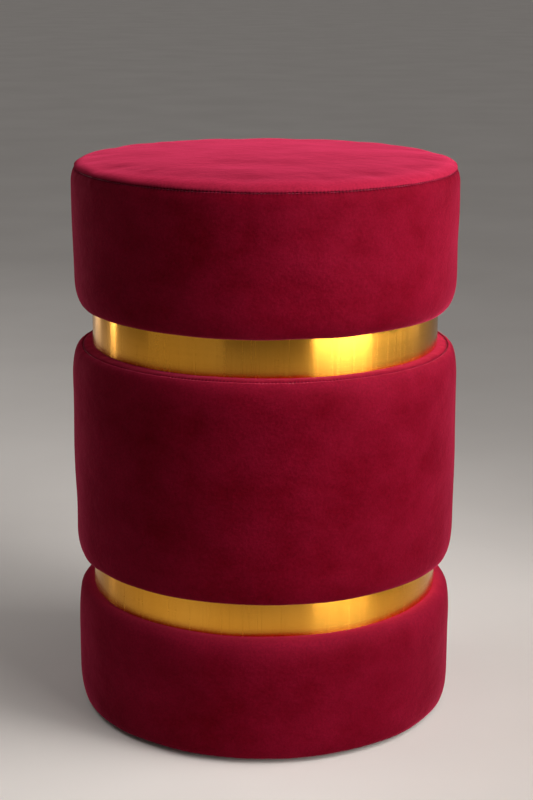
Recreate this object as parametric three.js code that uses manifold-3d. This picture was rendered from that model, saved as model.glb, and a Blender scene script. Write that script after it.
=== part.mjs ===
// A round upholstered pouf stool: three velvet drums stacked on two recessed gold-coloured steel bands.
// Each drum is a plywood and pine carcass with a bent hardboard hoop, a foam wrap and a velvet cover.
// Units are millimetres and +Z is up. The origin is on the floor, at the centre of the footprint.
// The front is -Y, and the butt joint of each band is at the back, +Y.
import * as THREE from "three";
import { mergeVertices } from "three/addons/utils/BufferGeometryUtils.js";
import Module from "manifold-3d";

const wasm = await Module();
wasm.setup();

// ---- Driving dimensions ------------------------------------------------------------------
const GAP = 0.3; // clearance between pieces that touch
const VELVET = 1.8; // pile and backing together
const FLOOR_GAP = 4; // from the floor up to the velvet
const BASE_HEIGHT = 110;
const MID_HEIGHT = 196;
const SEAT_HEIGHT = 134;
const BAND_HEIGHT = 35;

// Outer radius of each drum, and the radius of its rounded bottom and top edges.
const BASE = { radius: 176, bottomRound: 18, topRound: 17 };
const MID = { radius: 177, bottomRound: 15, topRound: 19 };
const SEAT = { radius: 175, bottomRound: 20 };

const BAND_RADIUS = { lower: 161.4, upper: 158.7 }; // outside of each steel band
const BAND_STEEL = 1;
const BAND_JOINT = 0.8; // width of the butt joint at the back
const CORE_INNER = 115; // hole in the board ring that a band wraps

const BOARD_RADIUS = 155;
const BOARD = 12; // plywood
const HAND_HOLE = 100; // radius of the hole that gives access to the screws
const HOOP = 3; // bent hardboard
const HOOP_INSET = 1.5; // the hoop stops this far short of the boards' outer faces
const POST_WIDTH = 28;
const POST_CIRCLE = 138; // radius at which the posts stand
const HEM_INNER = 145; // the velvet is stapled under the boards as far in as this

const SEAT_FOAM = 50;
const WADDING = 6;
const SEAT_SEAM = { radius: 171, below: 11 }; // seam of the seat's top panel, below the seat's top
const PANEL_ROUND = 14; // width of the rounded rim between that seam and the flat of the seat
const SHOULDER = { width: 7, height: 12.3 }; // half axes of the seat's side above its straight part
const MID_SEAM_RADIUS = 167.7;
const MID_PANEL_INNER = 140;
const FOAM_GAP = 1; // between the foam and the velvet, so that their facets stay clear of each other

const JOINT_SCREW = { circle: 130, shank: 2.5, head: 5, headHeight: 3, length: 60, tip: 8 };
const GLIDE = { circle: 128, radius: 12.5, bevel: 1, recess: 4.8, recessDepth: 2.6 };
const GLIDE_SCREW = { shank: 1.7, head: 4.2, headHeight: 1.8, length: 12, tip: 3 };
const DUST_COVER = { radius: 153, cloth: 0.5, step: 3.4 };
const PIN = { shank: 0.8, head: 2.5, headHeight: 1.2, length: 12, tip: 2, angle: 2.5 };
const HOLE_CLEARANCE = 0.4;

const SIDES = 36; // facets round a drum
const BAND_SIDES = 48; // facets round a band and its core
const HAND_HOLE_SIDES = 24;
const GLIDE_SIDES = 12;
const SMALL_SIDES = 8; // facets round a screw, a pin or their holes
const ARC_STEPS = 3; // facets of a quarter round
const QUARTERS = [0, 90, 180, 270];
const DIAGONALS = [45, 135, 225, 315];

// ---- Heights worked out from the above ---------------------------------------------------
const base0 = FLOOR_GAP;
const base1 = base0 + BASE_HEIGHT;
const mid0 = base1 + BAND_HEIGHT;
const mid1 = mid0 + MID_HEIGHT;
const seat0 = mid1 + BAND_HEIGHT;
const seat1 = seat0 + SEAT_HEIGHT;
const cloth = VELVET + GAP; // from a drum's outside to the face of what the velvet covers
const seatBoardTop = seat1 - cloth - WADDING - GAP - SEAT_FOAM - GAP;
const dustTop = base0 + cloth - GAP;
const glideTop = dustTop - DUST_COVER.cloth - GAP;

// ---- Materials ---------------------------------------------------------------------------
function material(color, roughness, metalness = 0) {
  return new THREE.MeshStandardMaterial({ color, roughness, metalness });
}
const velvet = material(0x8f0d2c, 0.9);
const gold = material(0xd8a23c, 0.35, 1);
const foam = material(0xefe3b4, 0.95);
const wadding = material(0xf4f3ee, 1);
const plywood = material(0xd2ac79, 0.7);
const pine = material(0xe2c491, 0.7);
const hardboard = material(0x7a4f30, 0.75);
const zinc = material(0xb9bcc0, 0.4, 1);
const blackCloth = material(0x1b1b1c, 0.95);
const blackPlastic = material(0x17171a, 0.6);

// ---- Helpers -----------------------------------------------------------------------------
const group = new THREE.Group();
const point = (x, y) => new THREE.Vector2(x, y);
const radians = THREE.MathUtils.degToRad;

function add(name, geometry, look, parent = group) {
  const mesh = new THREE.Mesh(geometry, look);
  mesh.name = name;
  parent.add(mesh);
  return mesh;
}

// A solid of revolution about Z. The profile holds (radius, height) points, with the solid on its left.
function turned(profile, sides = SIDES) {
  return new THREE.LatheGeometry(profile, sides).rotateX(Math.PI / 2);
}

// The same for a ring, whose profile closes on itself.
function turnedRing(profile, sides = SIDES) {
  return turned([...profile, profile[0]], sides);
}

// Points along an ellipse in the profile plane, from one angle to another in degrees.
function arc(cx, cz, width, height, from, to, steps = ARC_STEPS) {
  return Array.from({ length: steps + 1 }, (_, i) => {
    const a = radians(from + ((to - from) * i) / steps);
    return point(cx + width * Math.cos(a), cz + height * Math.sin(a));
  });
}

function circle(radius, sides, cx = 0, cy = 0) {
  return Array.from({ length: sides }, (_, i) => {
    const a = (2 * Math.PI * i) / sides;
    return point(cx + radius * Math.cos(a), cy + radius * Math.sin(a));
  });
}

function polar(radius, degrees) {
  return point(radius * Math.cos(radians(degrees)), radius * Math.sin(radians(degrees)));
}

// A flat plate from z0 to z1 with round holes, each hole being its outline's points.
function plate(outline, holes, z0, z1) {
  const shape = new THREE.Shape(outline);
  shape.holes = holes.map((hole) => new THREE.Path(hole));
  const options = { depth: z1 - z0, bevelEnabled: false };
  return new THREE.ExtrudeGeometry(shape, options).translate(0, 0, z0);
}

function screwHoles(circleRadius, shank, angles) {
  return angles.map((angle) => {
    const at = polar(circleRadius, angle);
    return circle(shank + HOLE_CLEARANCE, SMALL_SIDES, at.x, at.y);
  });
}

const jointHoles = screwHoles(JOINT_SCREW.circle, JOINT_SCREW.shank, QUARTERS);
const glideHoles = screwHoles(GLIDE.circle, GLIDE_SCREW.shank, DIAGONALS);

function solid(geometry) {
  const bare = geometry.clone();
  bare.deleteAttribute("normal");
  bare.deleteAttribute("uv");
  const merged = mergeVertices(bare, 1e-4);
  const vertProperties = merged.attributes.position.array;
  const triVerts = new Uint32Array(merged.index.array);
  return new wasm.Manifold(new wasm.Mesh({ numProp: 3, vertProperties, triVerts }));
}

function cut(geometry, tools) {
  const left = tools.reduce((whole, tool) => whole.subtract(solid(tool)), solid(geometry));
  const mesh = left.getMesh();
  return new THREE.BufferGeometry()
    .setAttribute("position", new THREE.BufferAttribute(mesh.vertProperties, 3))
    .setIndex(new THREE.BufferAttribute(mesh.triVerts, 1));
}

// A fastener along +Z: a flat head below z = 0, a shank, and a pointed tip.
function fastener({ shank, head, headHeight, length, tip }) {
  return turned(
    [
      point(0, -headHeight),
      point(head, -headHeight),
      point(head, 0),
      point(shank, 0),
      point(shank, length - tip),
      point(0, length),
    ],
    SMALL_SIDES,
  );
}

// ---- Carcass of one drum -----------------------------------------------------------------
function boardRing(name, z0, holes) {
  const handHole = circle(HAND_HOLE, HAND_HOLE_SIDES);
  add(name, plate(circle(BOARD_RADIUS, SIDES), [handHole, ...holes], z0, z0 + BOARD), plywood);
}

function posts(drum, z0, z1) {
  const length = z1 - z0 - 2 * GAP;
  DIAGONALS.forEach((angle, i) => {
    const at = polar(POST_CIRCLE, angle);
    const post = add(`${drum}_post_${i + 1}`, new THREE.BoxGeometry(POST_WIDTH, POST_WIDTH, length), pine);
    post.position.set(at.x, at.y, (z0 + z1) / 2);
    post.rotation.z = radians(angle);
  });
}

const hoopInner = BOARD_RADIUS + GAP;
const hoopOuter = hoopInner + HOOP;
const wrapInner = hoopOuter + GAP;
const foamDepth = VELVET + FOAM_GAP;

function hoop(drum, z0, z1) {
  const low = z0 + HOOP_INSET;
  const high = z1 - HOOP_INSET;
  const profile = [
    point(hoopInner, low),
    point(hoopOuter, low),
    point(hoopOuter, high),
    point(hoopInner, high),
  ];
  add(`${drum}_hoop`, turnedRing(profile), hardboard);
}

// The quarter round of a foam wrap under a cover's rounded edge, kept outside the hoop.
// edge is -1 at a drum's bottom and +1 at its top, and the points run upwards.
function wrapRound({ radius }, round, z, edge) {
  const centreRadius = radius - round;
  const r = round - foamDepth;
  const reach = Math.max(0, wrapInner - centreRadius) / r;
  const start = edge * THREE.MathUtils.radToDeg(Math.acos(reach));
  const centreZ = z - edge * round;
  const points = arc(centreRadius, centreZ, r, r, start, 0);
  if (centreRadius > wrapInner) points.unshift(point(wrapInner, z - edge * foamDepth));
  return edge < 0 ? points : points.reverse();
}

function foamWrap(drum, size, z0, z1) {
  const profile = [
    ...wrapRound(size, size.bottomRound, z0, -1),
    ...wrapRound(size, size.topRound, z1, 1),
  ];
  add(`${drum}_foam_wrap`, turnedRing(profile), foam);
}

// The outside of a drum's lower edge, from its stapled hem up to the straight side, moved in by depth.
function lowerEdge({ radius, bottomRound }, z0, depth) {
  const r = bottomRound - depth;
  return [point(HEM_INNER, z0 + depth), ...arc(radius - bottomRound, z0 + bottomRound, r, r, -90, 0)];
}

// A cover is a thin shell: its outer outline going up, then its inner outline going back down.
function cover(outline) {
  return turnedRing([...outline(0), ...outline(VELVET).reverse()]);
}

// ---- Base drum ---------------------------------------------------------------------------
const baseBoard0 = base0 + cloth;
const baseBoard1 = base1 - cloth;
boardRing("base_bottom_board", baseBoard0, glideHoles);
boardRing("base_top_board", baseBoard1 - BOARD, jointHoles);
posts("base", baseBoard0 + BOARD, baseBoard1 - BOARD);
hoop("base", baseBoard0, baseBoard1);
foamWrap("base", BASE, base0, base1);

// One sleeve, stapled under the bottom board and over the top board.
add("base_cover", cover((depth) => {
  const r = BASE.topRound - depth;
  return [
    ...lowerEdge(BASE, base0, depth),
    ...arc(BASE.radius - BASE.topRound, base1 - BASE.topRound, r, r, 0, 90),
    point(HEM_INNER, base1 - depth),
  ];
}), velvet);

// ---- Middle drum -------------------------------------------------------------------------
const midBoard0 = mid0 + cloth;
const midBoard1 = mid1 - cloth;
boardRing("middle_bottom_board", midBoard0, jointHoles);
boardRing("middle_top_board", midBoard1 - BOARD, jointHoles);
posts("middle", midBoard0 + BOARD, midBoard1 - BOARD);
hoop("middle", midBoard0, midBoard1);
foamWrap("middle", MID, mid0, mid1);

// The top panel is a velvet ring, sewn to the side panel on the drum's shoulder.
const midShoulder = MID.radius - MID.topRound;
const midSeamAngle = THREE.MathUtils.radToDeg(Math.acos((MID_SEAM_RADIUS - midShoulder) / MID.topRound));
const midSeamGap = THREE.MathUtils.radToDeg(GAP / (MID.topRound - VELVET));

add("middle_top_panel", cover((depth) => {
  const r = MID.topRound - depth;
  return [
    ...arc(midShoulder, mid1 - MID.topRound, r, r, midSeamAngle, 90, 1),
    point(MID_PANEL_INNER, mid1 - depth),
  ];
}), velvet);

add("middle_side_panel", cover((depth) => {
  const r = MID.topRound - depth;
  return [
    ...lowerEdge(MID, mid0, depth),
    ...arc(midShoulder, mid1 - MID.topRound, r, r, 0, midSeamAngle - midSeamGap, 2),
  ];
}), velvet);

// ---- Seat drum ---------------------------------------------------------------------------
const seatBoard0 = seat0 + cloth;
boardRing("seat_bottom_board", seatBoard0, jointHoles);
add("seat_top_board", plate(circle(BOARD_RADIUS, SIDES), [], seatBoardTop - BOARD, seatBoardTop), plywood);
posts("seat", seatBoard0 + BOARD, seatBoardTop - BOARD);
hoop("seat", seatBoard0, seatBoardTop);

const foam0 = seatBoardTop + GAP;
const foam1 = foam0 + SEAT_FOAM;
add("seat_foam", plate(circle(hoopOuter, SIDES), [], foam0, foam1), foam);

// The seam of the top panel, and the half ellipse of the side panel's shoulder that meets it.
const seamZ = seat1 - SEAT_SEAM.below;
const seatShoulder = SEAT.radius - SHOULDER.width;
const seamAngle = THREE.MathUtils.radToDeg(Math.acos((SEAT_SEAM.radius - seatShoulder) / SHOULDER.width));
const shoulderZ = seamZ - GAP - SHOULDER.height * Math.sin(radians(seamAngle));
const panelFlat = SEAT_SEAM.radius - PANEL_ROUND;

function seatSide(depth, low) {
  const width = SHOULDER.width - depth;
  const height = SHOULDER.height - depth;
  return [...low, ...arc(seatShoulder, shoulderZ, width, height, 0, seamAngle)];
}

add("seat_side_panel", cover((depth) => seatSide(depth, lowerEdge(SEAT, seat0, depth))), velvet);

const seatWrapLow = wrapRound(SEAT, SEAT.bottomRound, seat0, -1);
const seatWrapHigh = point(wrapInner, shoulderZ + SHOULDER.height - foamDepth);
add("seat_foam_wrap", turnedRing([...seatSide(foamDepth, seatWrapLow), seatWrapHigh]), foam);

// A dome-edged disc with a flat top: the outside of the wadding or of the velvet over it.
function dome(depth) {
  return [
    ...arc(panelFlat, seamZ, PANEL_ROUND - depth, SEAT_SEAM.below - depth, 0, 90),
    point(0, seat1 - depth),
  ];
}

const waddingBottom = [point(0, foam1 + GAP), point(wrapInner, foam1 + GAP)];
add("seat_wadding", turned([...waddingBottom, ...dome(cloth)]), wadding);
add("seat_top_panel", turned([...dome(VELVET).reverse(), ...dome(0)]), velvet);

// ---- Bands and their cores ---------------------------------------------------------------
// Turns a shape that lies along +X to the given angle, and lifts it to height z.
function radial(geometry, degrees, z) {
  return geometry.rotateZ(radians(degrees)).translate(0, 0, z);
}

function pinHole(radius, degrees, z) {
  const size = PIN.shank + HOLE_CLEARANCE;
  const reach = PIN.length + 2 * GAP;
  const tool = new THREE.CylinderGeometry(size, size, 2 * reach, SMALL_SIDES).rotateZ(Math.PI / 2);
  return radial(tool.translate(radius, 0, 0), degrees, z);
}

function band(name, z0, z1) {
  const radius = BAND_RADIUS[name];
  const inner = radius - BAND_STEEL;
  const halfJoint = THREE.MathUtils.radToDeg(BAND_JOINT / 2 / radius);
  const low = z0 + GAP;
  const high = z1 - GAP;
  const middle = (low + high) / 2;
  const angles = [90 - PIN.angle, 90 + PIN.angle];
  const from = 90 + halfJoint;
  const to = 450 - halfJoint;
  const strip = [
    ...arc(0, 0, radius, radius, from, to, BAND_SIDES),
    ...arc(0, 0, inner, inner, to, from, BAND_SIDES),
  ];
  const holes = angles.map((angle) => pinHole(radius, angle, middle));
  add(`${name}_band`, cut(plate(strip, [], low, high), holes), gold);

  const coreHoles = [circle(CORE_INNER, SIDES), ...jointHoles];
  const core = plate(circle(inner - GAP, BAND_SIDES), coreHoles, low, high);
  add(`${name}_band_core`, cut(core, holes), plywood);

  angles.forEach((angle, i) => {
    const pin = fastener(PIN).rotateY(-Math.PI / 2).translate(radius + GAP, 0, 0);
    add(`${name}_band_pin_${i + 1}`, radial(pin, angle, middle), gold);
  });
}

band("lower", base1, mid0);
band("upper", mid1, seat0);

// ---- Screws that join the drums, driven upwards from inside -------------------------------
function jointScrews(name, z) {
  QUARTERS.forEach((angle, i) => {
    const at = polar(JOINT_SCREW.circle, angle);
    const screw = add(`${name}_screw_${i + 1}`, fastener(JOINT_SCREW), zinc);
    screw.position.set(at.x, at.y, z - GAP);
  });
}

jointScrews("lower_joint", baseBoard1 - BOARD);
jointScrews("upper_joint", midBoard1 - BOARD);

// ---- Underside ---------------------------------------------------------------------------
// The black cloth lies against the bottom board and steps down over the velvet's hem.
const hemBottom = base0 - GAP;
const dustStep1 = HEM_INNER - 2 * GAP;
const dustStep0 = dustStep1 - DUST_COVER.step;
const dustOutline = (drop) => [
  point(0, dustTop - drop),
  point(dustStep0, dustTop - drop),
  point(dustStep1, hemBottom - drop),
  point(DUST_COVER.radius, hemBottom - drop),
];
const dustSheet = turned([...dustOutline(DUST_COVER.cloth), ...dustOutline(0).reverse()]);
add("dust_cover", cut(dustSheet, glideHoles.map((hole) => plate(hole, [], 0, BOARD))), blackCloth);

const glideProfile = [
  point(GLIDE.recess, 0),
  point(GLIDE.radius - GLIDE.bevel, 0),
  point(GLIDE.radius, GLIDE.bevel),
  point(GLIDE.radius, glideTop),
  point(GLIDE_SCREW.shank + HOLE_CLEARANCE, glideTop),
  point(GLIDE_SCREW.shank + HOLE_CLEARANCE, GLIDE.recessDepth),
  point(GLIDE.recess, GLIDE.recessDepth),
];

DIAGONALS.forEach((angle, i) => {
  const foot = new THREE.Group();
  const at = polar(GLIDE.circle, angle);
  foot.position.set(at.x, at.y, 0);
  group.add(foot);
  add(`glide_${i + 1}`, turnedRing(glideProfile, GLIDE_SIDES), blackPlastic, foot);
  const screw = add(`glide_screw_${i + 1}`, fastener(GLIDE_SCREW), zinc, foot);
  screw.position.z = GLIDE.recessDepth - GAP;
});

export default group;
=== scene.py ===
# The looks of a round velvet pouf stool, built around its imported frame.
# Metres, +Z up. The front is -Y, and the joint of each band is at the back, +Y.
import math

import bmesh
import bpy
import numpy as np
from mathutils import Matrix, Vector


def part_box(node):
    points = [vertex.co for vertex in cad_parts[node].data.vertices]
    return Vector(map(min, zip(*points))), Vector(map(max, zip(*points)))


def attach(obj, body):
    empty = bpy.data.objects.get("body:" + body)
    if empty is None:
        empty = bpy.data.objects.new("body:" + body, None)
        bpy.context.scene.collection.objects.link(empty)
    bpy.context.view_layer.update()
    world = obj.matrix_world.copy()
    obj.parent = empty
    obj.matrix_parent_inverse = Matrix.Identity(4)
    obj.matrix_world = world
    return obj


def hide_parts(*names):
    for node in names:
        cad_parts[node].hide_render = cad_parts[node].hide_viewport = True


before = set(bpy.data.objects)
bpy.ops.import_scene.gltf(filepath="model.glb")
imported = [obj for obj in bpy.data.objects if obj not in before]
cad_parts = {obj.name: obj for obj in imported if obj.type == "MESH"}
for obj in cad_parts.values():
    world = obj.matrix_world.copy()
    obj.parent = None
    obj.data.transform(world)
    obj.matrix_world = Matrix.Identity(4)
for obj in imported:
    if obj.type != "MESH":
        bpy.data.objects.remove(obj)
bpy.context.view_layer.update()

MM = 0.001
TURN = 2 * math.pi
BACK = TURN / 4  # the angle of +Y, where every turned piece has its first column

# ---- Sizes read from the frame ------------------------------------------------------------
seat_low, seat_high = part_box("seat_side_panel")
panel_low, panel_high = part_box("seat_top_panel")
middle_low, middle_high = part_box("middle_side_panel")
shoulder_low, shoulder_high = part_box("middle_top_panel")
base_low, base_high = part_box("base_cover")

SEAT_R = seat_high.x
MIDDLE_R = middle_high.x
BASE_R = base_high.x
SEAT_SEAM = (panel_high.x, panel_low.z)  # radius and height of the bottom of a seam's crease
MIDDLE_SEAM = (shoulder_high.x, shoulder_high.z - 0.7 * MM)
FLAT_R = SEAT_SEAM[0] - 9 * MM  # the seat's flat reaches out as far as this
RIM = panel_high.z - 2.4 * MM  # its height there
CROWN = panel_high.z + 2.0 * MM  # and at its centre

# ---- Sizes of the trimmings ---------------------------------------------------------------
HEM_R = 147 * MM  # the covers are stapled under the boards as far in as this
VELVET = 1.6 * MM
STITCHES = 336  # round a seam, about 3.2 mm from one to the next
COLUMNS = 432  # vertices round a velvet panel or a band
NO_PAINTED_HIGHLIGHT = (0, 0, 1 * MM, 0)  # for a panel with no painted highlight at a bend
BAND_STEEL = 1.0 * MM
BAND_JOINT = 0.8 * MM
STAPLES = 48
STAPLE_WIRE = 0.35 * MM  # half the height of its flat wire
DUST_CLOTH = 0.5 * MM

# ---- The cloth simulation -----------------------------------------------------------------
CLOTH_STEP = 3  # it works on every third column of a panel
PRESSURE = 4
SIDE_GIVE = 1.6 * MM  # as far as the velvet may move
TOP_GIVE = 1.0 * MM  # and the velvet of the seat's top, of which only the seam is held


# ---- Profiles -----------------------------------------------------------------------------
def arc(centre, half_axes, start, end, points=24):
    """Points of an ellipse in the (radius, height) plane, between two angles in degrees."""
    a = np.radians(np.linspace(start, end, points))
    return np.stack([centre[0] + half_axes[0] * np.cos(a), centre[1] + half_axes[1] * np.sin(a)], 1)


def distance_along(points):
    """How far along the polyline each of its points lies."""
    return np.concatenate([[0], np.cumsum(np.linalg.norm(np.diff(points, axis=0), axis=1))])


def points_at(stops, points):
    """The places on the polyline that lie as far along it as the stops."""
    s = distance_along(points)
    return np.stack([np.interp(stops, s, points[:, k]) for k in (0, 1)], 1)


def graded(points, fine_at, finest=0.6 * MM, coarsest=3.4 * MM, growth=0.15):
    """The polyline again, in steps that grow with the distance from its fine place.
    fine_at gives that as a share of its length."""
    length = distance_along(points)[-1]
    stops = [0.0]
    while stops[-1] < length:
        step = finest + growth * abs(stops[-1] - fine_at * length)
        stops.append(stops[-1] + min(coarsest, step))
    return points_at(np.array(stops) * length / stops[-1], points)


def rounded_ring(inner, outer, low, high, ease, points):
    """A closed outline in the (radius, height) plane: a rectangle with rounded corners."""
    corners = [
        (outer - ease, low + ease, -90),
        (outer - ease, high - ease, 0),
        (inner + ease, high - ease, 90),
        (inner + ease, low + ease, 180),
    ]
    return np.concatenate([arc((r, z), (ease, ease), a, a + 90, points) for r, z, a in corners])


def crown(r):
    """The height of the seat's flat at radius r."""
    return RIM + (CROWN - RIM) * (1 - (r / FLAT_R) ** 2)


# ---- Meshes -------------------------------------------------------------------------------
def angles(columns):
    """The angle of each column of a turned piece."""
    return BACK + np.arange(columns) * TURN / columns


def turned_grid(profile, columns):
    """Points (row, column, xyz) of a profile turned about Z, with column 0 at the back."""
    angle = angles(columns)
    radius = profile[:, 0][:, None]
    height = np.broadcast_to(profile[:, 1][:, None], (len(profile), columns))
    return np.stack([radius * np.cos(angle), radius * np.sin(angle), height], 2)


def grid_faces(rows, columns, ring=False, capped=False):
    """Faces of a grid that closes on itself round its columns. ring joins its last row to its
    first. capped closes each end with a fan about one more point, numbered after the grid's."""
    index = np.arange(rows * columns).reshape(rows, columns)
    below, above = (index, np.roll(index, -1, 0)) if ring else (index[:-1], index[1:])
    quads = [below, np.roll(below, -1, 1), np.roll(above, -1, 1), above]
    faces = np.stack(quads, 2).reshape(-1, 4).tolist()
    if capped:
        for row, tip in ((index[0], rows * columns), (index[-1], rows * columns + 1)):
            faces += [[a, tip, b] for a, b in zip(row.tolist(), np.roll(row, -1).tolist())]
    return faces


def new_object(name, data):
    """An object that is in the scene."""
    made = bpy.data.objects.new(name, data)
    bpy.context.scene.collection.objects.link(made)
    return made


def piece_from(name, points, faces):
    """A smooth-shaded object with its faces turned outwards."""
    mesh = bpy.data.meshes.new(name)
    mesh.from_pydata(np.asarray(points).tolist(), [], faces)
    work = bmesh.new()
    work.from_mesh(mesh)
    bmesh.ops.recalc_face_normals(work, faces=work.faces)
    work.to_mesh(mesh)
    work.free()
    mesh.polygons.foreach_set("use_smooth", [True] * len(mesh.polygons))
    return new_object(name, mesh)


def solid(grid, capped=False):
    """Points and faces of a closed body from one grid."""
    points = grid.reshape(-1, 3)
    if capped:
        points = np.concatenate([points, [grid[0].mean(0), grid[-1].mean(0)]])
    return points, grid_faces(*grid.shape[:2], ring=not capped, capped=capped)


def merged(bodies):
    """Several bodies, each a pair of points and faces, as one."""
    points, faces, start = [], [], 0
    for body_points, body_faces in bodies:
        points.append(body_points)
        faces += [[start + i for i in face] for face in body_faces]
        start += len(body_points)
    return np.concatenate(points), faces


def placed(body, matrix):
    """A body, as its points and faces, turned and moved by a matrix."""
    points, faces = body
    turn = np.array(matrix.to_3x3())
    return points @ turn.T + np.array(matrix.translation), faces


def dress(piece, slot, look, *nodes):
    """Gives a piece its material and its body, and hides the CAD nodes that it stands for. slot is
    not used.
    """
    piece.data.materials.append(look)
    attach(piece, "root")
    if nodes:
        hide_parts(*nodes)


# ---- Node materials -----------------------------------------------------------------------
class Look:
    """A node material: the Principled shader and short ways to add and join nodes."""

    def __init__(self, name, **values):
        self.material = bpy.data.materials.new(name)
        self.material.use_nodes = True
        self.tree = self.material.node_tree
        self.shader = self.tree.nodes["Principled BSDF"]
        for socket, value in values.items():
            self.shader.inputs[socket.replace("_", " ")].default_value = value

    def join(self, value, socket):
        if isinstance(value, bpy.types.NodeSocket):
            self.tree.links.new(value, socket)
        else:
            socket.default_value = value

    def add(self, kind, inputs=(), **settings):
        node = self.tree.nodes.new("ShaderNode" + kind)
        for name, value in settings.items():
            setattr(node, name, value)
        for key, value in dict(inputs).items():
            self.join(value, node.inputs[key])
        return node

    def math(self, operation, a, b=0.0):
        return self.add("Math", {0: a, 1: b}, operation=operation).outputs[0]

    def blend(self, a, b, share):
        """Two values mixed, with this share of b."""
        rest = self.math("MULTIPLY", a, 1 - share)
        return self.math("ADD", rest, self.math("MULTIPLY", b, share))

    def place(self):
        return self.add("TexCoord").outputs["Object"]

    def split(self, vector):
        return self.add("SeparateXYZ", {0: vector}).outputs

    def stretch(self, vector, scale):
        return self.add("VectorMath", {0: vector, 1: scale}, operation="MULTIPLY").outputs[0]

    def round_axis(self):
        """The place as (angle about Z, height, 0), so that a pattern can run round a drum."""
        x, y, z = self.split(self.place())
        return self.add("CombineXYZ", {0: self.math("ARCTAN2", x, y), 1: z}).outputs[0]

    def noise(self, vector, scale, detail=2.0, roughness=0.5):
        inputs = {"Vector": vector, "Scale": scale, "Detail": detail, "Roughness": roughness}
        return self.add("TexNoise", inputs).outputs["Fac"]

    def cells(self, vector, scale):
        return self.add("TexVoronoi", {"Vector": vector, "Scale": scale}).outputs["Distance"]

    def ramp(self, fac, *stops):
        """A colour ramp. Each stop is (position, grey value or (r, g, b))."""
        node = self.add("ValToRGB", {0: fac})
        elements = node.color_ramp.elements
        for i, (position, colour) in enumerate(stops):
            element = elements[i] if i < 2 else elements.new(position)
            element.position = position
            rgb = (colour,) * 3 if isinstance(colour, (int, float)) else colour
            element.color = (*rgb, 1)
        return node.outputs[0]

    def mix(self, fac, a, b, blend="MIX"):
        node = self.add("Mix", data_type="RGBA", blend_type=blend)
        for key, value in ((0, fac), (6, a), (7, b)):
            if isinstance(value, tuple):
                value = (*value, 1)
            self.join(value, node.inputs[key])
        return node.outputs[2]

    def bump(self, height, distance, strength=1.0, normal=None):
        inputs = {"Height": height, "Distance": distance, "Strength": strength}
        if normal is not None:
            inputs["Normal"] = normal
        return self.add("Bump", inputs).outputs[0]

    def use(self, **sockets):
        for name, value in sockets.items():
            self.join(value, self.shader.inputs[name.replace("_", " ")])
        return self.material


def velvet_look():
    look = Look(
        "velvet",
        Specular_IOR_Level=0.005,
        Sheen_Weight=0.55,
        Sheen_Roughness=0.34,
        Sheen_Tint=(1.0, 0.075, 0.20, 1),
    )
    place = look.place()

    # Patches where the nap is brushed one way or the other, and the grain of the pile.
    brushed = look.noise(look.stretch(place, (11, 11, 15)), 1.0, 3.0, 0.6)
    strokes = look.noise(look.stretch(place, (34, 34, 46)), 1.0, 4.0, 0.65)
    nap = look.blend(brushed, strokes, 0.45)
    pile = look.blend(look.noise(place, 480, 2.0, 0.6), look.noise(place, 1400, 1.0), 0.4)
    tone = look.ramp(nap, (0.34, (0.104, 0.0009, 0.006)), (0.66, (0.160, 0.0034, 0.015)))
    grain = look.ramp(pile, (0.34, 0.70), (0.66, 1.0))
    rough = look.ramp(nap, (0.3, 0.70), (0.7, 0.55))

    # Painted shade: the crease of a seam is darkened, in dots, one at each stitch.
    tuck = look.add("Attribute", attribute_name="tuck").outputs["Fac"]
    around = look.split(look.round_axis())[0]
    needle_shade = look.math("COSINE", look.math("MULTIPLY", around, float(STITCHES)))
    pulled = look.math("MULTIPLY", tuck, look.math("ADD", 0.5, look.math("MULTIPLY", needle_shade, 0.5)))

    # Painted highlight: near a bend of the profile the colour is mixed towards a pale crimson and the
    # shading normals lean up towards the light, so that the lip and the shoulders look lit from
    # above.
    bend = look.add("Attribute", attribute_name="bend").outputs["Fac"]
    painted_highlight = look.mix(look.math("MULTIPLY", bend, 0.55), tone, (0.44, 0.020, 0.060))
    lean = look.add("CombineXYZ", {2: look.math("MULTIPLY", bend, 0.9)}).outputs[0]
    outwards = look.add("NewGeometry").outputs["Normal"]
    leaning = look.add("VectorMath", {0: outwards, 1: lean}, operation="ADD").outputs[0]
    level = look.add("VectorMath", {0: leaning}, operation="NORMALIZE").outputs[0]

    # The colour with its painted highlight, times the pile's grain darkened by the painted shade in
    # the seams' creases.
    colour = look.mix(1.0, painted_highlight, look.mix(pulled, grain, (0.10, 0.06, 0.08)), "MULTIPLY")
    swell = look.bump(nap, 2.3 * MM, 0.9, level)
    fine = look.bump(pile, 0.28 * MM, 0.6, swell)
    return look.use(Base_Color=colour, Roughness=rough, Normal=fine)


def thread_look():
    look = Look("thread", Roughness=0.45, Sheen_Weight=0.3, Sheen_Tint=(1.0, 0.3, 0.4, 1))
    twist = look.noise(look.place(), 900, 2.0)
    colour = look.ramp(twist, (0.3, (0.13, 0.002, 0.014)), (0.7, (0.24, 0.008, 0.036)))
    return look.use(Base_Color=colour, Normal=look.bump(twist, 0.1 * MM, 0.6))


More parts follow.
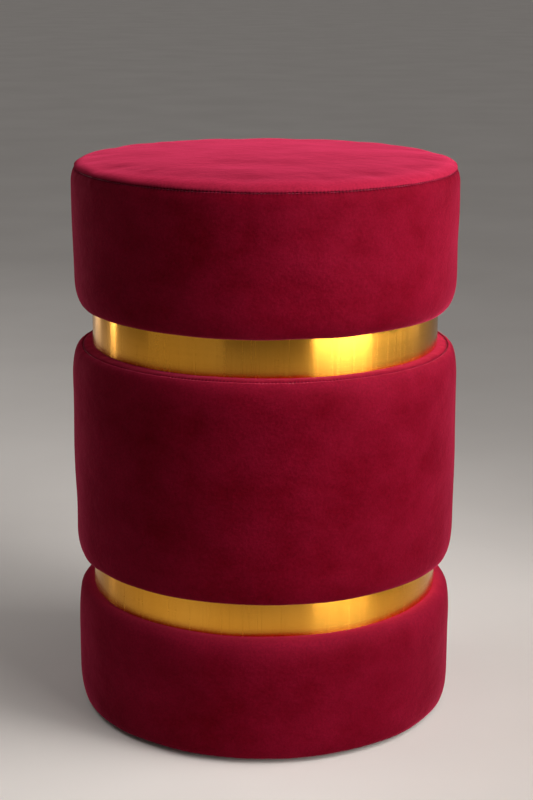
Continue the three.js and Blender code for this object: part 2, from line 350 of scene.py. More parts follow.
def gold_look():
    look = Look("gold_steel", Metallic=1.0, Anisotropic=0.95, Anisotropic_Rotation=0.25)
    place = look.round_axis()
    hairline = look.noise(look.stretch(place, (0.6, 3200, 0)), 1.0, 3.0, 0.6)
    upright = look.noise(look.stretch(place, (60, 9, 0)), 1.0, 3.0, 0.65)
    wave = look.noise(look.stretch(place, (14, 2, 0)), 1.0, 2.0)
    patch = look.ramp(look.noise(look.place(), 9.0, 2.0), (0.3, 0.0), (0.7, 1.0))
    colour = look.mix(patch, (0.86, 0.38, 0.034), (0.92, 0.44, 0.055))
    rough = look.ramp(look.blend(hairline, upright, 0.5), (0.3, 0.20), (0.7, 0.30))
    tangent = look.add("Tangent", direction_type="RADIAL", axis="Z").outputs[0]
    rolled = look.bump(wave, 0.10 * MM, 1.0, look.bump(upright, 0.012 * MM))
    scratch = look.bump(hairline, 0.02 * MM, 0.3, rolled)
    return look.use(Base_Color=colour, Roughness=rough, Tangent=tangent, Normal=scratch)


def plywood_look():
    look = Look("plywood", Roughness=0.62, Specular_IOR_Level=0.35)
    place = look.place()
    ply = look.math("FRACT", look.math("MULTIPLY", look.split(place)[2], 1 / (3.4 * MM)))
    layer = look.ramp(ply, (0.46, (0.60, 0.40, 0.22)), (0.54, (0.38, 0.22, 0.11)))
    grain = look.noise(look.stretch(place, (14, 190, 14)), 1.0, 5.0, 0.62)
    face = look.ramp(grain, (0.3, (0.50, 0.33, 0.17)), (0.7, (0.72, 0.52, 0.31)))
    up = look.split(look.add("NewGeometry").outputs["Normal"])[2]
    flat = look.math("GREATER_THAN", look.math("ABSOLUTE", up), 0.5)
    colour = look.mix(flat, layer, face)
    return look.use(Base_Color=colour, Normal=look.bump(grain, 0.2 * MM, 0.5))


def pine_look():
    look = Look("pine", Roughness=0.58, Specular_IOR_Level=0.35)
    place = look.place()
    bend = look.math("MULTIPLY", look.noise(place, 9.0, 2.0), 30 * MM)
    across = look.math("ADD", look.split(place)[0], bend)
    rings = look.math("SINE", look.math("MULTIPLY", across, 900))
    fibre = look.noise(look.stretch(place, (700, 700, 22)), 1.0, 3.0, 0.6)
    streak = look.blend(rings, fibre, 0.6)
    colour = look.ramp(streak, (0.1, (0.52, 0.31, 0.14)), (0.8, (0.78, 0.56, 0.31)))
    return look.use(Base_Color=colour, Normal=look.bump(fibre, 0.2 * MM, 0.5))


def hardboard_look():
    look = Look("hardboard", Roughness=0.5, Specular_IOR_Level=0.4)
    place = look.place()
    fleck = look.noise(place, 420, 4.0, 0.7)
    mottle = look.blend(fleck, look.noise(place, 30, 2.0), 0.35)
    colour = look.ramp(mottle, (0.3, (0.13, 0.065, 0.03)), (0.7, (0.27, 0.15, 0.075)))
    return look.use(Base_Color=colour, Normal=look.bump(fleck, 0.1 * MM, 0.4))


def zinc_look():
    look = Look("zinc_steel", Metallic=1.0)
    place = look.place()
    spangle = look.noise(place, 260, 3.0, 0.6)
    wash = look.noise(place, 60, 2.0)
    stops = (0.3, (0.55, 0.56, 0.55)), (0.5, (0.66, 0.65, 0.58)), (0.7, (0.62, 0.65, 0.70))
    rough = look.ramp(spangle, (0.3, 0.26), (0.7, 0.42))
    dents = look.bump(spangle, 0.05 * MM, 0.4)
    return look.use(Base_Color=look.ramp(wash, *stops), Roughness=rough, Normal=dents)


def foam_look():
    look = Look("foam", Roughness=0.95, Specular_IOR_Level=0.1)
    place = look.place()
    pore = look.cells(place, 900)
    cloud = look.noise(place, 25, 2.0)
    tone = look.ramp(cloud, (0.3, (0.70, 0.62, 0.40)), (0.7, (0.80, 0.72, 0.50)))
    # Painted shade: each pore is darker towards its middle, where its hollow would be shaded.
    colour = look.mix(1.0, tone, look.ramp(pore, (0.05, 0.55), (0.5, 1.0)), "MULTIPLY")
    return look.use(Base_Color=colour, Normal=look.bump(pore, 0.5 * MM, 0.8))


def wadding_look():
    look = Look("wadding", Roughness=0.9, Specular_IOR_Level=0.15, Sheen_Weight=0.5)
    fibre = look.noise(look.stretch(look.place(), (260, 260, 900)), 1.0, 5.0, 0.75)
    colour = look.ramp(fibre, (0.3, (0.68, 0.69, 0.70)), (0.7, (0.88, 0.88, 0.87)))
    return look.use(Base_Color=colour, Normal=look.bump(fibre, 0.8 * MM, 0.8))


def lining_look():
    look = Look("lining_cloth", Roughness=0.85, Specular_IOR_Level=0.2, Sheen_Weight=0.15)
    place = look.place()
    fibre = look.noise(place, 1400, 4.0, 0.75)
    colour = look.ramp(fibre, (0.3, (0.010, 0.010, 0.011)), (0.7, (0.032, 0.032, 0.034)))
    relief = look.blend(fibre, look.cells(place, 420), 0.5)
    return look.use(Base_Color=colour, Normal=look.bump(relief, 0.3 * MM, 0.7))


def plastic_look():
    look = Look("black_plastic", Specular_IOR_Level=0.45)
    place = look.place()
    texture = look.noise(place, 1300, 3.0, 0.6)
    scuff = look.noise(look.stretch(place, (120, 120, 20)), 1.0, 4.0, 0.7)
    colour = look.ramp(scuff, (0.35, (0.012, 0.012, 0.013)), (0.75, (0.035, 0.034, 0.033)))
    rough = look.ramp(scuff, (0.3, 0.36), (0.7, 0.55))
    return look.use(Base_Color=colour, Roughness=rough, Normal=look.bump(texture, 0.08 * MM, 0.5))


velvet = velvet_look()
thread = thread_look()
gold = gold_look()
zinc = zinc_look()
foam = foam_look()
wadding = wadding_look()
lining = lining_look()
plastic = plastic_look()


# ---- Relief -------------------------------------------------------------------------------
def normals_of(grid):
    """Unit normals of a grid of points, outwards for a profile that goes up or inwards."""
    up = np.gradient(grid, axis=0)
    round_z = np.roll(grid, -1, 1) - np.roll(grid, 1, 1)
    normal = np.cross(round_z, up)
    return normal / np.maximum(np.linalg.norm(normal, axis=2, keepdims=True), 1e-12)


def waves(points, longest, shortest, seed, count=40):
    """Smooth random relief between about -1 and 1: waves of many directions and lengths."""
    draw = np.random.default_rng(seed)
    direction = draw.normal(size=(count, 3))
    direction /= np.linalg.norm(direction, axis=1)[:, None]
    length = draw.uniform(shortest, longest, count)
    phase = draw.uniform(0, TURN, count)
    angle = points @ (TURN * direction / length[:, None]).T + phase
    return np.cos(angle).sum(-1) / math.sqrt(2 * count)


def seat_rise(angle):
    """The seat's seam stands a little higher at the sides than at the front and back."""
    return 1.8 * MM * np.cos(angle) ** 2


def middle_rise(angle):
    """The middle drum's seam is pulled down a little at the sides."""
    return -1.2 * MM * np.cos(angle) ** 2


def every_fourth(count):
    """Every fourth of that many rows, and always the last one."""
    return np.unique(np.append(np.arange(0, count, 4), count - 1))


def cloth_from(name, points, held_rows):
    """A cloth that an even pressure blows out, with some of its rows held."""
    cloth = piece_from(name, points.reshape(-1, 3), grid_faces(*points.shape[:2]))
    index = np.arange(len(cloth.data.vertices)).reshape(points.shape[:2])
    held = cloth.vertex_groups.new(name="held")
    held.add(index[held_rows].reshape(-1).tolist(), 1.0, "REPLACE")
    settings = cloth.modifiers.new("Cloth", "CLOTH").settings
    settings.vertex_group_mass = "held"
    settings.use_pressure = True
    settings.uniform_pressure_force = PRESSURE
    settings.effector_weights.gravity = 0
    return cloth


def blown_up(name, grid, seed, held_rows, give, frames=20):
    """How far each point of a panel moves, up to give, when the padding under it fills the cloth.
    The simulation works on a coarser grid, which starts out slightly uneven."""
    rows = every_fourth(len(grid))
    coarse = grid[rows][:, ::CLOTH_STEP]
    uneven = waves(coarse, 90 * MM, 35 * MM, seed)[..., None]
    start = coarse + normals_of(coarse) * uneven * 0.5 * MM
    start[held_rows] = coarse[held_rows]
    cloth = cloth_from(name + "_cloth", start, held_rows)
    for number in range(1, frames + 1):
        bpy.context.scene.frame_set(number)
    blown = cloth.evaluated_get(bpy.context.evaluated_depsgraph_get())
    places = np.empty(start.size, dtype=np.float32)
    blown.data.vertices.foreach_get("co", places)
    moved = places.reshape(start.shape) - coarse
    far = np.linalg.norm(moved, axis=2, keepdims=True)
    moved *= np.minimum(1, give / np.maximum(far, 1e-9))
    bpy.data.objects.remove(cloth)
    bpy.context.scene.frame_set(1)
    return spread(moved, rows, grid.shape)


def spread(moved, rows, shape):
    """The coarse movement on the fine grid, smoothed."""
    wrapped = np.concatenate([moved, moved[:, :1]], 1)
    across = np.arange(shape[1]) / CLOTH_STEP
    left = across.astype(int)
    share = (across - left)[None, :, None]
    wide = wrapped[:, left] * (1 - share) + wrapped[:, left + 1] * share
    fine = np.empty(shape)
    for row in range(shape[0]):
        below = min(np.searchsorted(rows, row, side="right") - 1, len(rows) - 2)
        part = (row - rows[below]) / (rows[below + 1] - rows[below])
        fine[row] = wide[below] * (1 - part) + wide[below + 1] * part
    for _ in range(3):
        fine = (2 * fine + np.roll(fine, 1, 1) + np.roll(fine, -1, 1)) / 4
        fine[1:-1] = (2 * fine[1:-1] + fine[:-2] + fine[2:]) / 4
    return fine


# ---- Velvet panels ------------------------------------------------------------------------
def seam_puckers_and_shade(from_seam, crease):
    """What a seam does to the velvet at each distance from it: the height of the puckers beside
    it, and the strength of the painted shade in its crease, which varies along the seam."""
    around = turned_grid(np.array([[SEAT_R, 0.0]]), COLUMNS)
    pucker = waves(around, 16 * MM, 8 * MM, seed=11)[0]
    uneven = 1 + 0.35 * waves(around, 60 * MM, 15 * MM, seed=12)[0]
    puckers = pucker * 0.25 * MM * np.exp(-(((from_seam - 4 * MM) / (4 * MM)) ** 2))
    tuck = crease * uneven * np.exp(-((from_seam / (2.5 * MM)) ** 2))
    return puckers, tuck


def painted_highlight_mark(profile, outer, painted_highlight):
    """Painted highlight at each row: how much paler the velvet is made, and how far its shading leans
    up, near a bend of the profile. The last argument is a point of the profile, the distance from
    it over which the highlight is full, the distance over which that fades, and the amount."""
    point, wide, fade, amount = painted_highlight
    from_bend = np.abs(distance_along(outer) - distance_along(profile)[point])
    return amount * np.exp(-np.maximum(0, from_bend - wide) / fade)


def mark(piece, key, values):
    """Gives the first points of a piece the values that its material reads, and the rest 0."""
    full = np.zeros(len(piece.data.vertices), dtype=np.float32)
    full[: values.size] = values.reshape(-1)
    piece.data.attributes.new(key, "FLOAT", "POINT").data.foreach_set("value", full)


def panel(name, profile, node, seed, seam=None, fine_at=1.0, centre=False, painted_highlight=NO_PAINTED_HIGHLIGHT):
    """A velvet panel: a fine outside, and an inside one cloth's thickness behind it. seam is the row
    that is sewn, 0 or -1, its rise round the drum and the strength of the painted shade in its
    crease.
    centre says that the profile ends at the Z axis. The last argument places the painted highlight
    at a bend: a point of the profile, the distance over which it is full, the distance over which it
    fades, and its amount."""
    outer = graded(profile, fine_at)
    s = distance_along(outer)
    grid = turned_grid(outer, COLUMNS)
    held_rows, give = ([0], TOP_GIVE) if centre else ([0, -1], SIDE_GIVE)
    grid = grid + blown_up(name, grid, seed, held_rows, give)
    from_end = s if centre else np.minimum(s, s[-1] - s)
    loose = np.minimum(1, from_end / (25 * MM))[:, None]
    relief = waves(grid, 150 * MM, 45 * MM, seed) * 0.45 * MM * loose
    tuck = np.zeros(grid.shape[:2])
    if seam:
        row, rise, crease = seam
        from_seam = np.abs(s - s[row])[:, None]
        puckers, tuck = seam_puckers_and_shade(from_seam, crease)
        relief += puckers
    grid = grid + normals_of(grid) * relief[..., None]
    if seam:
        grid[..., 2] += rise(angles(COLUMNS)) * np.exp(-((from_seam / (9 * MM)) ** 2))
    inside = (grid - VELVET * normals_of(grid))[every_fourth(len(outer))]
    # Painted highlight: how much paler each row is made, and how far its shading leans up, near the
    # bend.
    bend = np.broadcast_to(painted_highlight_mark(profile, outer, painted_highlight)[:, None], tuck.shape)
    way = -1 if centre else 1  # the order of the outside's rows, before those of the inside
    shell = np.concatenate([grid[::way], inside[::-way]])
    piece = piece_from(name, *solid(shell, capped=centre))
    # The painted shade in the seam's crease, and the painted highlight at the bend, for the material.
    mark(piece, "tuck", tuck[::way])
    mark(piece, "bend", bend[::way])
    dress(piece, "velvet", velvet, node)


# The offsets in these profiles were fitted to the drums' outlines in the photo.
def lower_edge(radius, low, width, height):
    """From the stapled hem, round a drum's lower edge and up to the start of its side."""
    edge = arc((radius - width, low + height), (width, height), -90, 0)
    return np.concatenate([[(HEM_R, low)], edge])


def upper_edge(radius, high, width, height, leave, rounding):
    """The top of a drum's side: it leans in along an ellipse up to the angle leave, in degrees,
    and then rounds over into the top along a circle."""
    lean = arc((radius - width, high - height), (width, height), 0, leave)
    r, z = lean[-1]
    turn = math.atan2(math.sin(math.radians(leave)) / height, math.cos(math.radians(leave)) / width)
    centre = (r - rounding * math.cos(turn), z - rounding * math.sin(turn))
    return np.concatenate([lean, arc(centre, (rounding, rounding), math.degrees(turn) + 4, 86)])


def seat_side():
    seam_r, seam_z = SEAT_SEAM
    low = lower_edge(SEAT_R - 0.7 * MM, seat_low.z, 10 * MM, 26 * MM)
    waist = [(SEAT_R - 0.4 * MM, seat_low.z + 60 * MM), (SEAT_R + 0.3 * MM, seam_z - 38 * MM)]
    lip = arc((SEAT_R - 5.5 * MM, seam_z - 10 * MM), (6 * MM, 11.5 * MM), 0, 50)
    tuck = [(seam_r + 1.9 * MM, seam_z - 0.4 * MM), (seam_r - 0.2 * MM, seam_z - 0.1 * MM)]
    return np.concatenate([low, waist, lip, tuck])


def seat_top():
    seam_r, seam_z = SEAT_SEAM
    tuck = [(seam_r - 0.2 * MM, seam_z - 0.1 * MM), (seam_r + 1.8 * MM, seam_z + 0.2 * MM)]
    lip = arc((seam_r - 10.7 * MM, seam_z + 1.4 * MM), (13 * MM, RIM - seam_z - 1.4 * MM), -3, 82, 32)
    r = np.linspace(lip[-1][0] - 3 * MM, 2 * MM, 40)
    return np.concatenate([tuck, lip, np.stack([r, crown(r)], 1)])


def middle_side():
    seam_r, seam_z = MIDDLE_SEAM
    low = lower_edge(MIDDLE_R + 0.1 * MM, middle_low.z, 5.2 * MM, 25 * MM)
    belly = [(MIDDLE_R + 0.5 * MM, (middle_low.z + seam_z) / 2)]
    upper = upper_edge(MIDDLE_R + 0.3 * MM, shoulder_high.z, 7.1 * MM, 31 * MM, 65, 5.3 * MM)
    tuck = [(seam_r + 0.9 * MM, seam_z + 0.2 * MM), (seam_r, seam_z - 1.2 * MM)]
    return np.concatenate([low, belly, upper, tuck])


def middle_top():
    seam_r, seam_z = MIDDLE_SEAM
    tuck = [(seam_r, seam_z - 1.2 * MM)]
    lip = arc((seam_r - 3.4 * MM, seam_z), (2.7 * MM, 1.0 * MM), 5, 90, 12)
    band_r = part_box("upper_band")[1].x
    seat = [(band_r + 0.8 * MM, seam_z + 0.5 * MM), (HEM_R, seam_z + 0.5 * MM)]
    return np.concatenate([tuck, lip, seat])


def base_sleeve():
    top = base_high.z
    low = lower_edge(BASE_R, base_low.z, 4.2 * MM, 26 * MM)
    upper = upper_edge(BASE_R, top, 5 * MM, 36 * MM, 57, 8.5 * MM)
    band_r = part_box("lower_band")[1].x
    return np.concatenate([low, upper, [(band_r + 0.5 * MM, top + 0.1 * MM), (HEM_R, top)]])


def make_velvet():
    """The five velvet panels, each with its seam, the painted shade in the seam's crease and the
    painted highlight at a bend.
    """
    panel("seat_side_velvet", seat_side(), "seat_side_panel", 31, seam=(-1, seat_rise, 1.25))
    panel("seat_top_velvet", seat_top(), "seat_top_panel", 32, seam=(0, seat_rise, 1.25),
          fine_at=0, centre=True, painted_highlight=(0, 14 * MM, 7 * MM, 1.0))
    panel("middle_side_velvet", middle_side(), "middle_side_panel", 33,
          seam=(-1, middle_rise, 0.5), painted_highlight=(-1, 3 * MM, 8 * MM, 0.45))
    panel("middle_top_velvet", middle_top(), "middle_top_panel", 34,
          seam=(0, middle_rise, 0.5), fine_at=0, painted_highlight=(0, 30 * MM, 1 * MM, 0.45))
    panel("base_velvet", base_sleeve(), "base_cover", 35,
          fine_at=0.85, painted_highlight=(-2, 2 * MM, 9 * MM, 1.2))


# ---- Thread -------------------------------------------------------------------------------
def stitch_row(name, radius, height, rise):
    """Machine stitches along a seam, each a short tapered bar that shows in the groove."""
    turn = np.arange(6) * TURN / 6
    half = 0.34  # of the distance from one stitch to the next
    along = np.linspace(-half, half, 5)
    thick = 0.40 * MM * np.sqrt(1 - (along / 0.40) ** 2)[:, None]
    bodies = []
    for i in range(STITCHES):
        angle = (BACK + (i + 0.5 + along) * TURN / STITCHES)[:, None]
        r = radius + thick * np.cos(turn)
        z = height + thick * np.sin(turn) + rise(angle)
        bodies.append(solid(np.stack([r * np.cos(angle), r * np.sin(angle), z], 2), capped=True))
    dress(piece_from(name, *merged(bodies)), "velvet", thread)


# ---- Bands and their pins -----------------------------------------------------------------
def band(name, node):
    """A strip of steel bent round its core, with eased edges and a butt joint at the back."""
    low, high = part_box(node)
    outline = rounded_ring(high.x - BAND_STEEL, high.x, low.z, high.z, 0.35 * MM, 5)
    half = BAND_JOINT / 2 / high.x
    angle = np.linspace(BACK + half, BACK + TURN - half, COLUMNS)[:, None]
    r, z = outline[:, 0][None, :], outline[:, 1][None, :]
    height = np.broadcast_to(z, (COLUMNS, len(outline)))
    grid = np.stack([r * np.cos(angle), r * np.sin(angle), height], 2)
    dress(piece_from(name, *solid(grid, capped=True)), "gold_steel", gold, node)


def pin(node):
    """A round-headed pin, driven through the band towards the axis of the stool."""
    low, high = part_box(node)
    centre = (low + high) / 2
    head = (high.z - low.z) / 2
    shank = 0.8 * MM
    length = high.y - low.y
    profile = np.concatenate([
        [(0.1 * MM, -length), (shank, -length + 2 * MM), (shank, -1.2 * MM), (head, -1.2 * MM)],
        arc((0, -1.0 * MM), (head, 1.1 * MM), 0, 88, 10),
    ])
    angle = math.atan2(centre.y, centre.x)
    outwards = Matrix.Rotation(angle, 4, "Z") @ Matrix.Rotation(math.radians(90), 4, "Y")
    tip = Matrix.Translation((0, 0, high.y / math.sin(angle)))
    body = solid(turned_grid(profile, 24), capped=True)
    body = placed(body, Matrix.Translation((0, 0, centre.z)) @ outwards @ tip)
    dress(piece_from(node + "_turned", *body), "gold_steel", gold, node)


# ---- Screws, glides and the dust cover ----------------------------------------------------
def screw_head(radius, depth, columns):
    """The face of a screw's head, from its middle out, with a cross recess pressed into it."""
    r = np.linspace(0.06, 0.99, 9)[:, None] * radius
    angle = np.arange(columns)[None, :] * TURN / columns
    x, y = r * np.cos(angle), r * np.sin(angle)
    arm = np.minimum(np.abs(x), np.abs(y)) < radius * 0.13
    inside = np.clip((radius * 0.62 - r) / (radius * 0.12), 0, 1)
    return np.stack([x, y, np.where(arm, depth * inside, 0)], 2)


def screw(node, pitch, columns=16):
    """A wood screw that points up, with its head, thread and point sized from its node."""
    low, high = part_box(node)
    centre = (low + high) / 2
    head = (high.x - low.x) / 2
    length = high.z - low.z
    shank = head * 0.5
    neck = head * 0.45
    tip = shank * 3
    rows_per_turn = 6
    shaft_rows = int((length - neck - tip) / pitch * rows_per_turn)
    tip_rows = int(tip / pitch * rows_per_turn) + 2
    z = np.concatenate([
        np.linspace(0, neck, 8, endpoint=False),
        np.linspace(neck, length - tip, shaft_rows, endpoint=False),
        np.linspace(length - tip, length, tip_rows),
    ])[:, None]
    heights = [0, neck * 0.2, neck * 0.75, neck, neck * 1.01, length - tip, length]
    widths = [head * 0.86, head, head * 0.97, head * 0.8, shank, shank, shank * 0.06]
    core = np.interp(z, heights, widths)
    turn = np.arange(columns) / columns
    valley = 1 - np.abs((z / pitch - turn) % 1 * 2 - 1) ** 2
    cut = np.where((z > length * 0.3) & (z < length - 0.2 * MM), shank * 0.32, 0)
    r = core - cut * valley * np.minimum(1, core / shank)
    height = np.broadcast_to(z, r.shape)
    shaft = np.stack([r * np.cos(turn * TURN), r * np.sin(turn * TURN), height], 2)
    face = screw_head(head * 0.86, neck * 0.75, columns)
    body = placed(
        solid(np.concatenate([face, shaft]), capped=True),
        Matrix.Translation((centre.x, centre.y, low.z)),
    )
    dress(piece_from(node + "_cut", *body), "zinc_steel", zinc, node)


def glide(node):
    """A moulded foot with a soft lower edge and a well for its screw."""
    low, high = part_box(node)
    centre = (low + high) / 2
    r, top = (high.x - low.x) / 2, high.z
    well, well_top, bore = 4.8 * MM, 2.6 * MM, 2.1 * MM
    profile = np.concatenate([
        [(bore, top), (bore, well_top), (well, well_top)],
        arc((well + 0.4 * MM, 0.4 * MM), (0.4 * MM, 0.4 * MM), 180, 270, 5),
        arc((r - 1.4 * MM, 1.4 * MM), (1.4 * MM, 1.4 * MM), -90, 0, 8),
        arc((r - 0.5 * MM, top - 0.5 * MM), (0.5 * MM, 0.5 * MM), 0, 90, 5),
    ])
    body = placed(solid(turned_grid(profile, 64)), Matrix.Translation((centre.x, centre.y, 0)))
    dress(piece_from(node + "_moulded", *body), "black_plastic", plastic, node)


def dust_cover(columns=240):
    """Black non-woven cloth under the base, stretched over the hem and stapled all round."""
    low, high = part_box("dust_cover")
    radius = high.x
    outline = np.array([
        (2 * MM, high.z),
        (HEM_R - 8 * MM, high.z),
        (HEM_R - 2 * MM, high.z - 0.7 * MM),
        (HEM_R, low.z + DUST_CLOTH + 0.3 * MM),
        (radius, low.z + DUST_CLOTH),
    ])
    profile = graded(outline, 0.97, 0.8 * MM, 5 * MM)
    grid = turned_grid(profile, columns)
    r = profile[:, 0][:, None]
    slack = np.clip((HEM_R - r) / (30 * MM), 0, 1)
    sag = 0.35 * MM * slack * (1 + waves(grid, 130 * MM, 50 * MM, seed=3))
    near_staples = np.exp(-(((r - radius + 5 * MM) / (7 * MM)) ** 2))
    pulled = 0.12 * MM * np.cos(angles(columns) * STAPLES) * near_staples
    grid[..., 2] += pulled - sag
    under = grid - np.array([0, 0, DUST_CLOTH])
    piece = piece_from("dust_cover_cloth", *solid(np.concatenate([grid, under[::-1]]), capped=True))
    dress(piece, "lining_cloth", lining, "dust_cover")
    staples(low.z, radius - 4 * MM)


def staples(height, radius):
    """The crowns of the staples that hold the dust cover, each with its two bends."""
    half, bend, leg = 4.6 * MM, 0.3 * MM, 1.6 * MM
    side = [(half - bend, 0), (half, bend), (half, leg)]
    path = np.array([(-x, z) for x, z in reversed(side)] + side)
    slope = np.gradient(path, axis=0)
    slope /= np.linalg.norm(slope, axis=1)[:, None]
    turn = np.arange(8) * TURN / 8
    thick = STAPLE_WIRE * np.sin(turn)
    grid = np.stack([
        path[:, 0][:, None] - thick * slope[:, 1][:, None],
        np.broadcast_to(2 * STAPLE_WIRE * np.cos(turn), (len(path), len(turn))),
        path[:, 1][:, None] + thick * slope[:, 0][:, None],
    ], 2)
    staple = solid(grid, capped=True)
    draw = np.random.default_rng(5)
    bodies = []
    for i in range(STAPLES):
        angle = i * TURN / STAPLES + draw.normal() * 0.012
        skew = draw.normal() * 0.12
        spot = (radius * math.cos(angle), radius * math.sin(angle), height - STAPLE_WIRE)
        turned = Matrix.Rotation(angle + BACK + skew, 4, "Z")
        bodies.append(placed(staple, Matrix.Translation(spot) @ turned))
    dress(piece_from("dust_cover_staples", *merged(bodies)), "zinc_steel", zinc)


# ---- Padding ------------------------------------------------------------------------------
def foam_wrap(drum, columns=216):
    """A sheet of foam wrapped round a hoop, with soft edges. It is a little smaller than its
    node, so that it stays inside the velvet where that is drawn in at its seams and edges."""
    node = drum + "_foam_wrap"
    low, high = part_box(node)
    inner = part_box(drum + "_hoop")[1].x + 0.4 * MM
    outer = high.x - 3 * MM
    corners = rounded_ring(inner, outer, low.z + 5 * MM, high.z - 4 * MM, 4.5 * MM, 7)
    loop = np.concatenate([corners, corners[:1]])
    length = distance_along(loop)[-1]
    stops = np.linspace(0, length, int(length / (5 * MM)), endpoint=False)
    grid = turned_grid(points_at(stops, loop), columns)
    uneven = 0.0012 * waves(grid, 60 * MM, 20 * MM, seed=21)
    grid[..., :2] *= 1 + uneven[..., None]
    piece = piece_from(node + "_soft", *solid(grid))
    dress(piece, "foam", foam, node)


def seat_foam(columns=216):
    """A cut disc of foam with its upper edge rounded over and a slightly uneven top."""
    low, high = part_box("seat_foam")
    r, ease, nick = high.x, 5 * MM, 1 * MM
    profile = np.concatenate([
        [(2 * MM, low.z)],
        arc((r - nick, low.z + nick), (nick, nick), -90, 0, 4),
        arc((r - ease, high.z - ease), (ease, ease), 0, 90, 10),
        [(2 * MM, high.z)],
    ])
    grid = turned_grid(graded(profile, 0.5, 2 * MM, 7 * MM), columns)
    dip = 0.25 * MM * (1 + waves(grid, 90 * MM, 30 * MM, seed=22))
    grid[..., 2] -= np.where(grid[..., 2] > high.z - nick, dip, 0)
    piece = piece_from("seat_foam_soft", *solid(grid, capped=True))
    dress(piece, "foam", foam, "seat_foam")


def seat_wadding(columns=216):
    """Fibre wadding that fills the space between the foam and the velvet of the seat's top."""
    low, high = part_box("seat_wadding")
    foam_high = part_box("seat_foam")[1]
    bottom = foam_high.z + 0.3 * MM
    reach = high.x - 2 * MM
    r = np.linspace(reach - 8 * MM, 2 * MM, 24)
    profile = np.concatenate([
        [(2 * MM, bottom), (foam_high.x, bottom)],
        arc((reach - 6 * MM, low.z + 3.4 * MM), (6 * MM, 2.6 * MM), -60, 70, 10),
        np.stack([r, crown(r) - VELVET - 0.8 * MM], 1),
    ])
    grid = turned_grid(graded(profile, 0.5, 2 * MM, 7 * MM), columns)
    piece = piece_from("seat_wadding_soft", *solid(grid, capped=True))
    dress(piece, "wadding", wadding, "seat_wadding")


# ---- Carcass ------------------------------------------------------------------------------
def carcass():
    """The wooden nodes keep their CAD shapes and get their woods."""
    woods = {"plywood": plywood_look(), "pine": pine_look(), "hardboard": hardboard_look()}
    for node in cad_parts:
        item = bpy.data.objects.get(node)
        if item is None or not item.data.materials:
            continue
        wood = woods.get(item.data.materials[0].name.split(".")[0])
        if wood:
            item.material_slots[0].material = wood


make_velvet()
stitch_row("seat_seam_thread", SEAT_SEAM[0] - 0.1 * MM, SEAT_SEAM[1] - 0.3 * MM, seat_rise)
stitch_row("middle_seam_thread", MIDDLE_SEAM[0], MIDDLE_SEAM[1] - 0.9 * MM, middle_rise)
band("upper_hoop", "upper_band")
band("lower_hoop", "lower_band")
for level in ("upper", "lower"):
    for number in (1, 2):
        pin(f"{level}_band_pin_{number}")
for number in (1, 2, 3, 4):
    glide(f"glide_{number}")
    screw(f"glide_screw_{number}", 1.5 * MM)
    screw(f"lower_joint_screw_{number}", 2.6 * MM)
    screw(f"upper_joint_screw_{number}", 2.6 * MM)
dust_cover()
for drum in ("seat", "middle", "base"):
    foam_wrap(drum)
seat_foam()
seat_wadding()
carcass()


# ---- Camera, floor and light --------------------------------------------------------------
def camera():
    """The photo's view, as fitted to the drums' outlines."""
    place = (1.5 * MM, -1.590, 0.6986)
    tilt, roll = math.radians(14.55), math.radians(0.23)
    data = bpy.data.cameras.new("camera")
    data.sensor_width = 36
    data.lens = 79.1
    data.clip_end = 100
    shown = new_object("camera", data)
    shown.matrix_world = (
        Matrix.Translation(place)
        @ Matrix.Rotation(math.radians(90) - tilt, 4, "X")
        @ Matrix.Rotation(roll, 4, "Z")
    )
    bpy.context.scene.camera = shown


def floor():
    """A plain pale floor that reaches out to the horizon."""
    look = Look("floor", Roughness=0.85, Specular_IOR_Level=0.2)
    cloud = look.noise(look.place(), 3.0, 3.0)
    look.use(Base_Color=look.ramp(cloud, (0.3, (0.66, 0.63, 0.61)), (0.7, (0.71, 0.68, 0.66))))
    size = 30
    corners = [(-size, -size, 0), (size, -size, 0), (size, size, 0), (-size, size, 0)]
    mesh = bpy.data.meshes.new("floor")
    mesh.from_pydata(corners, [], [(0, 1, 2, 3)])
    mesh.materials.append(look.material)
    new_object("floor", mesh)


def softbox(name, azimuth, elevation, distance, size, watts, colour, target=0.3, spread=180):
    """An area light aimed at the stool's axis at the height target. Azimuth 0 is the front and
    90 the right, and the light fills a cone of spread degrees."""
    data = bpy.data.lights.new(name, "AREA")
    data.shape = "RECTANGLE"
    data.size, data.size_y = size
    data.spread = math.radians(spread)
    data.energy = watts
    data.color = colour
    light = new_object(name, data)
    a, e = math.radians(azimuth), math.radians(elevation)
    light.location = (
        distance * math.sin(a) * math.cos(e),
        -distance * math.cos(a) * math.cos(e),
        target + distance * math.sin(e),
    )
    light.rotation_euler = (math.radians(90) - e, 0, a)


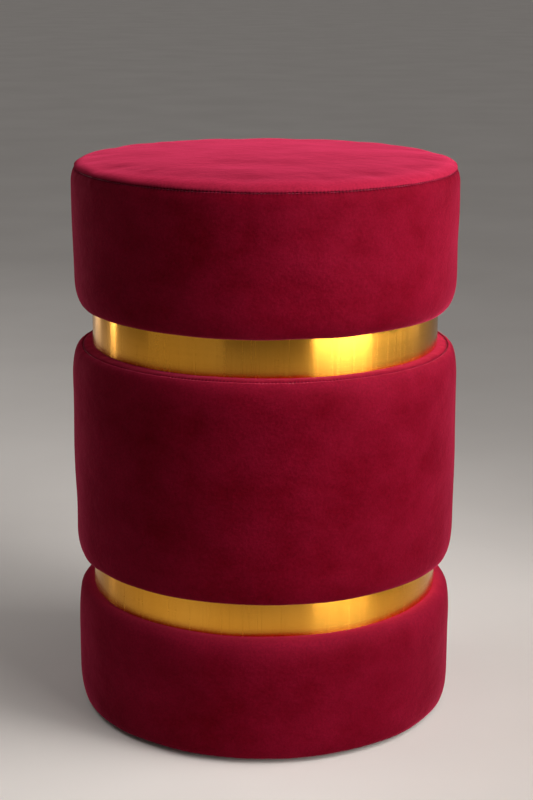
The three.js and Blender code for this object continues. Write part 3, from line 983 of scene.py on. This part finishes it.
def sun(name, azimuth, elevation, strength, colour, width=30):
    """Light from far off, as soft as a window or a ceiling of that many degrees."""
    data = bpy.data.lights.new(name, "SUN")
    data.energy = strength
    data.angle = math.radians(width)
    data.color = colour
    light = new_object(name, data)
    light.rotation_euler = (math.radians(90 - elevation), 0, math.radians(azimuth))


def lights():
    """A window on the left, a bright ceiling, a large softbox on the right with smaller ones
    nearer to the seat, and softboxes at the sides that the bands mirror as streaks."""
    warm, plain = (1.0, 0.97, 0.93), (1.0, 0.98, 0.96)
    sun("window", -100, 60, 0.42, plain)
    sun("ceiling", 0, 86, 0.35, plain, width=70)
    softbox("key", 50, 13, 2.2, (1.6, 1.2), 14.0, warm, spread=100)
    softbox("high", 60, 50, 0.8, (0.4, 0.4), 0.8, warm, target=0.45, spread=90)
    softbox("right", 72, 26, 0.9, (0.9, 0.7), 3.4, warm, target=0.42, spread=80)
    softbox("near", 104, 14, 0.5, (0.40, 0.40), 0.2, warm, target=0.45, spread=90)
    softbox("side", 110, 8, 2.2, (0.5, 1.4), 0.9, plain)
    softbox("streak", -113, 8, 2.2, (0.18, 1.4), 4.0, warm)
    softbox("left", -140, 8, 2.2, (0.5, 1.4), 2.5, plain)
    softbox("fill", -52, 8, 2.2, (2.2, 1.0), 1.7, warm)


def surroundings():
    """Hardly any light comes from all round. Behind the floor, a plain grey wall is seen."""
    world = bpy.data.worlds.new("studio")
    world.use_nodes = True
    nodes, links = world.node_tree.nodes, world.node_tree.links
    dim = nodes["Background"]
    dim.inputs["Color"].default_value = (1.0, 0.85, 0.70, 1)
    dim.inputs["Strength"].default_value = 0.02
    seen = nodes.new("ShaderNodeBackground")
    seen.inputs["Color"].default_value = (0.30, 0.29, 0.28, 1)
    choice = nodes.new("ShaderNodeMixShader")
    links.new(nodes.new("ShaderNodeLightPath").outputs["Is Camera Ray"], choice.inputs[0])
    links.new(dim.outputs[0], choice.inputs[1])
    links.new(seen.outputs[0], choice.inputs[2])
    links.new(choice.outputs[0], nodes["World Output"].inputs["Surface"])
    bpy.context.scene.world = world


camera()
floor()
lights()
surroundings()
bpy.context.scene.view_settings.view_transform = "Standard"
